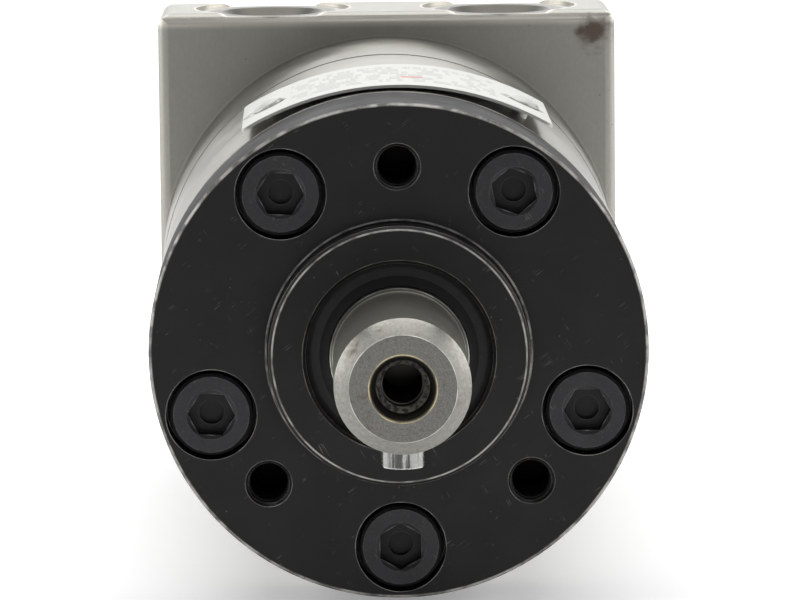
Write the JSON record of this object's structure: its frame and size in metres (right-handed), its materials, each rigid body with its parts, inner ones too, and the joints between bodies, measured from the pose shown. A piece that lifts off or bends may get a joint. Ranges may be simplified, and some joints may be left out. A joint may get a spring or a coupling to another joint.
{
  "type": "hydraulic motor",
  "caption": "Round orbital hydraulic motor with a keyed shaft, a piloted front cover, a rear port block and a lobed rotor set.",
  "frame": {"origin": "centre of the mounting face, where the pilot meets the front cover, on the shaft axis", "axes": "-Y along the shaft, out of the motor; +Z towards the ports; +X to the right seen from the shaft end"},
  "size_m": [0.062, 0.154, 0.0652],
  "materials": {
    "black_steel": "black oxide, fine scratches, worn bright on the edges",
    "black_screw": "black oxide, slightly worn",
    "ground_steel": "ground, with faint turned marks",
    "bright_key": "bright drawn steel",
    "machined_steel": "fine turned and milled, light staining",
    "dark_steel": "hardened and ground",
    "bearing_steel": "ground bearing steel",
    "cage_steel": "pressed cage",
    "spring_steel": "drawn wire",
    "seal_rubber": "nitrile, matte",
    "copper_washer": "soft copper seal",
    "zinc_plug": "zinc plated",
    "plate_aluminium": "bright thin sheet"
  },
  "bodies": {
    "motor_body": {"front_cover": "black_steel", "cover_screws": "black_screw", "dust_seal": "seal_rubber", "shaft_seal": "seal_rubber", "seal_spring": "spring_steel", "backup_ring": "dark_steel", "cover_o_ring": "seal_rubber", "front_race": "bearing_steel", "housing": "machined_steel", "check_spring_a": "spring_steel", "check_spring_b": "spring_steel", "drain_plug": "zinc_plug", "drain_washer": "copper_washer", "housing_o_ring": "seal_rubber", "distributor_plate": "dark_steel", "ring_o_ring": "seal_rubber", "gear_ring": "dark_steel", "end_o_ring": "seal_rubber", "end_cover": "black_steel", "end_washers": "copper_washer", "end_screws": "black_screw", "nameplate": "plate_aluminium", "nameplate_rivets": "plate_aluminium"},
    "shaft": {"output_shaft": "ground_steel", "shaft_key": "bright_key", "rear_race": "bearing_steel"},
    "cage": {"needle_cage": "cage_steel", "needles": "bearing_steel"},
    "spacer": {"cardan_button": "bearing_steel"},
    "rotor": {"rotor": "dark_steel"},
    "cardan": {"cardan_shaft": "dark_steel"},
    "ball_a": {"check_ball_a": "bearing_steel"},
    "ball_b": {"check_ball_b": "bearing_steel"}
  },
  "joints": [
    {"name": "shaft_spin", "type": "hinge", "parent": "motor_body", "child": "shaft", "pos_m": [0, 0, 0], "axis": [0, 1, 0], "continuous": true},
    {"name": "cage_spin", "type": "hinge", "parent": "motor_body", "child": "cage", "pos_m": [0, 0.0215, 0], "axis": [0, 1, 0], "continuous": true},
    {"name": "rotor_orbit", "type": "hinge", "parent": "motor_body", "child": "spacer", "pos_m": [0, 0.1065, 0], "axis": [0, 1, 0], "continuous": true},
    {"name": "rotor_spin", "type": "hinge", "parent": "spacer", "child": "rotor", "pos_m": [0, 0.10625, 0.0029], "axis": [0, 1, 0], "continuous": true},
    {"name": "cardan_spin", "type": "hinge", "parent": "spacer", "child": "cardan", "pos_m": [0, 0.061, 0], "axis": [0, 0.9979, 0.0649], "continuous": true},
    {"name": "check_a_lift", "type": "slide", "parent": "motor_body", "child": "ball_a", "axis": [0, 1, 0], "range_m": [0, 0.0006], "stiffness_N_per_m": 60, "springref_m": -0.001, "deforming": ["check_spring_a"]},
    {"name": "check_b_lift", "type": "slide", "parent": "motor_body", "child": "ball_b", "axis": [0, 1, 0], "range_m": [0, 0.0006], "stiffness_N_per_m": 60, "springref_m": -0.001, "deforming": ["check_spring_b"]}
  ],
  "couplings": [
    {"joint": "cage_spin", "follows": "shaft_spin", "ratio": 0.5},
    {"joint": "rotor_orbit", "follows": "shaft_spin", "ratio": -4},
    {"joint": "rotor_spin", "follows": "shaft_spin", "ratio": 5},
    {"joint": "cardan_spin", "follows": "shaft_spin", "ratio": 5}
  ]
}
